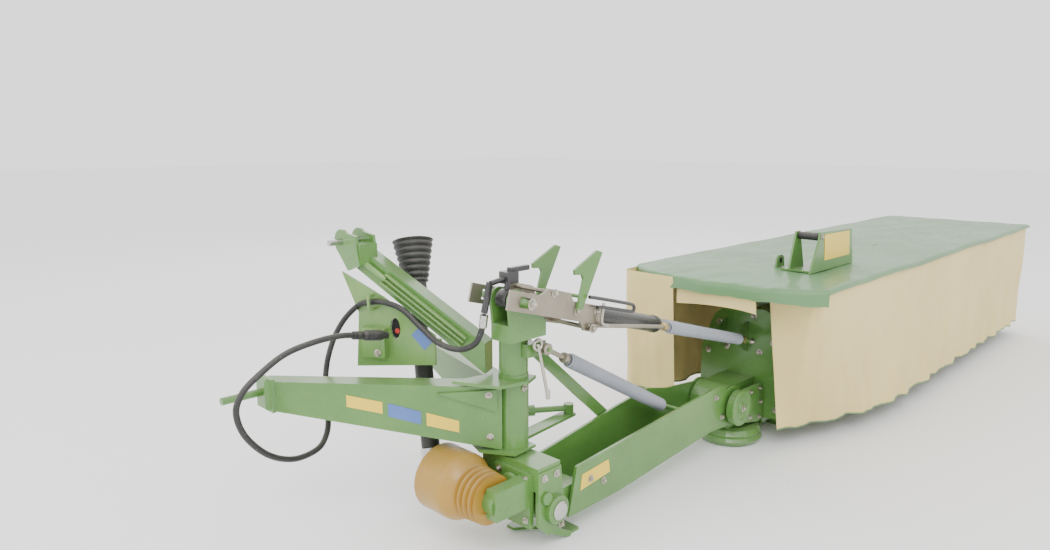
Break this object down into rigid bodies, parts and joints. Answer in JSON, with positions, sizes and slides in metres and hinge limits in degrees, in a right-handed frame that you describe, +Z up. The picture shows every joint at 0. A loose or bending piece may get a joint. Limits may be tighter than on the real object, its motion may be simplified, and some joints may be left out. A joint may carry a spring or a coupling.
{
  "type": "side-mounted disc mower",
  "caption": "Tractor-mounted disc mower: three-point headstock with parking foot, swinging arm, hydraulic lift, covered cutterbar of spinning discs.",
  "frame": {"origin": "On the floor under the headstock post's axis, on the sole of the parking foot", "axes": "+X runs out along the cutterbar, away from the headstock; +Y points forward, towards the tractor; +Z is up"},
  "size_m": [5.8049, 1.299, 1.1496],
  "materials": {
    "machine_green": "semi-gloss green paint over cast and folded steel",
    "cover_green": "coated green fabric, slightly worn",
    "canvas_beige": "woven canvas skirt with a thin green hem",
    "ochre_plastic": "moulded guard plastic",
    "zinc_plate": "dull zinc-plated steel",
    "spring_steel": "blue-grey coated spring wire",
    "black_plastic": "black guard plastic",
    "black_rubber": "black hose rubber",
    "bare_steel": "bare turned steel",
    "black_paint": "satin black paint",
    "disc_steel": "green paint, bare blades"
  },
  "bodies": {
    "headstock": {"post_sleeve": "machine_green", "hitch_frame": "machine_green", "top_link_beam": "machine_green", "top_link_pin": "zinc_plate", "side_plate": "machine_green", "hydraulic_hose": "black_rubber", "hose_coupler": "black_paint"},
    "swing_head": {"king_post": "machine_green", "pivot_casting": "machine_green", "parking_foot": "machine_green", "shaft_guard_cup": "ochre_plastic", "shaft_joint": "bare_steel", "shaft_guard_tube": "black_plastic", "shaft_bell": "black_plastic"},
    "carrying_arm": {"carrying_arm": "machine_green"},
    "mower": {"head_gearbox": "machine_green", "head_cap": "machine_green", "head_plate": "machine_green", "inner_shoe": "machine_green", "cutterbar": "machine_green", "cover_frame": "machine_green", "cover_sheet": "cover_green", "cover_flap": "cover_green", "rear_skirt": "canvas_beige", "inner_front_skirt": "canvas_beige", "sign_bracket": "machine_green", "catch_roller": "black_plastic"},
    "front_guard": {"front_cover": "cover_green", "front_skirt": "canvas_beige"},
    "lift_cylinder": {"cylinder_barrel": "black_paint", "slotted_link": "zinc_plate", "transport_hooks": "machine_green", "shutoff_valve": "black_paint"},
    "cylinder_rod": {"cylinder_rod": "bare_steel", "near_spring": "spring_steel", "far_spring": "spring_steel"},
    "relief_spring": {"relief_spindle": "zinc_plate", "relief_spring": "spring_steel"},
    "stop_link": {"stop_link": "machine_green"},
    "breakaway_sleeve": {"breakaway_sleeve": "machine_green"},
    "breakaway_rod": {"breakaway_rod": "machine_green"},
    "disc_1": {"disc_1": "disc_steel"},
    "disc_2": {"disc_2": "disc_steel"},
    "disc_3": {"disc_3": "disc_steel"},
    "disc_4": {"disc_4": "disc_steel"},
    "disc_5": {"disc_5": "disc_steel"},
    "disc_6": {"disc_6": "disc_steel"},
    "disc_7": {"disc_7": "disc_steel"},
    "disc_8": {"disc_8": "disc_steel"}
  },
  "joints": [
    {"name": "swing_back", "type": "hinge", "parent": "headstock", "child": "swing_head", "pos_m": [0, 0, 0.48], "axis": [0, 0, 1], "range_deg": [-18, 0]},
    {"name": "arm_lift", "type": "hinge", "parent": "swing_head", "child": "carrying_arm", "pos_m": [0.02, -0.1, 0.148], "axis": [0, -1, 0], "range_deg": [-3.01, 12.01]},
    {"name": "mower_fold", "type": "hinge", "parent": "carrying_arm", "child": "mower", "pos_m": [1.29, -0.1, 0.22], "axis": [0, -1, 0], "range_deg": [-16, 64], "deforming": ["cover_flap"]},
    {"name": "front_guard_fold", "type": "hinge", "parent": "mower", "child": "front_guard", "pos_m": [3.1, 0.12, 0.862], "axis": [1, 0, 0], "range_deg": [0, 80]},
    {"name": "cylinder_swing", "type": "hinge", "parent": "swing_head", "child": "lift_cylinder", "pos_m": [-0.1, -0.07, 0.94], "axis": [0, -1, 0], "range_deg": [-0.81, 3.21]},
    {"name": "cylinder_slide", "type": "slide", "parent": "lift_cylinder", "child": "cylinder_rod", "axis": [0.9639, 0, -0.2663], "range_m": [-0.431, 0.1085], "deforming": ["near_spring", "far_spring"]},
    {"name": "relief_swing", "type": "hinge", "parent": "swing_head", "child": "relief_spring", "pos_m": [0.07, -0.1, 0.73], "axis": [0, -1, 0], "range_deg": [-2.36, 9.42], "deforming": ["relief_spring"]},
    {"name": "stop_link_swing", "type": "hinge", "parent": "swing_head", "child": "stop_link", "pos_m": [0.09, 0.01, 0.72], "axis": [0, -1, 0], "range_deg": [-1.61, 6.41]},
    {"name": "breakaway_swing", "type": "hinge", "parent": "headstock", "child": "breakaway_sleeve", "pos_m": [0.115, 0.34, 0.345], "axis": [0, 0, 1], "range_deg": [-12.79, 0.01]},
    {"name": "breakaway_slide", "type": "slide", "parent": "breakaway_sleeve", "child": "breakaway_rod", "axis": [0.8359, -0.5489, 0], "range_m": [-0.001, 0.1047]},
    {"name": "disc_1_spin", "type": "hinge", "parent": "mower", "child": "disc_1", "pos_m": [1.87, -0.11, 0.096], "axis": [0, 0, 1], "continuous": true},
    {"name": "disc_2_spin", "type": "hinge", "parent": "mower", "child": "disc_2", "pos_m": [2.265, -0.11, 0.096], "axis": [0, 0, 1], "continuous": true},
    {"name": "disc_3_spin", "type": "hinge", "parent": "mower", "child": "disc_3", "pos_m": [2.66, -0.11, 0.096], "axis": [0, 0, 1], "continuous": true},
    {"name": "disc_4_spin", "type": "hinge", "parent": "mower", "child": "disc_4", "pos_m": [3.055, -0.11, 0.096], "axis": [0, 0, 1], "continuous": true},
    {"name": "disc_5_spin", "type": "hinge", "parent": "mower", "child": "disc_5", "pos_m": [3.45, -0.11, 0.096], "axis": [0, 0, 1], "continuous": true},
    {"name": "disc_6_spin", "type": "hinge", "parent": "mower", "child": "disc_6", "pos_m": [3.845, -0.11, 0.096], "axis": [0, 0, 1], "continuous": true},
    {"name": "disc_7_spin", "type": "hinge", "parent": "mower", "child": "disc_7", "pos_m": [4.24, -0.11, 0.096], "axis": [0, 0, 1], "continuous": true},
    {"name": "disc_8_spin", "type": "hinge", "parent": "mower", "child": "disc_8", "pos_m": [4.635, -0.11, 0.096], "axis": [0, 0, 1], "continuous": true}
  ],
  "couplings": [
    {"joint": "arm_lift", "follows": "mower_fold", "ratio": 0.1875},
    {"joint": "cylinder_swing", "follows": "mower_fold", "ratio": 0.05},
    {"joint": "cylinder_slide", "follows": "mower_fold", "m_per_rad": -0.385},
    {"joint": "relief_swing", "follows": "mower_fold", "ratio": 0.147},
    {"joint": "stop_link_swing", "follows": "mower_fold", "ratio": 0.1},
    {"joint": "breakaway_swing", "follows": "swing_back", "ratio": 0.71},
    {"joint": "breakaway_slide", "follows": "swing_back", "m_per_rad": -0.33},
    {"joint": "disc_2_spin", "follows": "disc_1_spin", "ratio": -1},
    {"joint": "disc_3_spin", "follows": "disc_1_spin", "ratio": 1},
    {"joint": "disc_4_spin", "follows": "disc_1_spin", "ratio": -1},
    {"joint": "disc_5_spin", "follows": "disc_1_spin", "ratio": 1},
    {"joint": "disc_6_spin", "follows": "disc_1_spin", "ratio": -1},
    {"joint": "disc_7_spin", "follows": "disc_1_spin", "ratio": 1},
    {"joint": "disc_8_spin", "follows": "disc_1_spin", "ratio": -1}
  ]
}
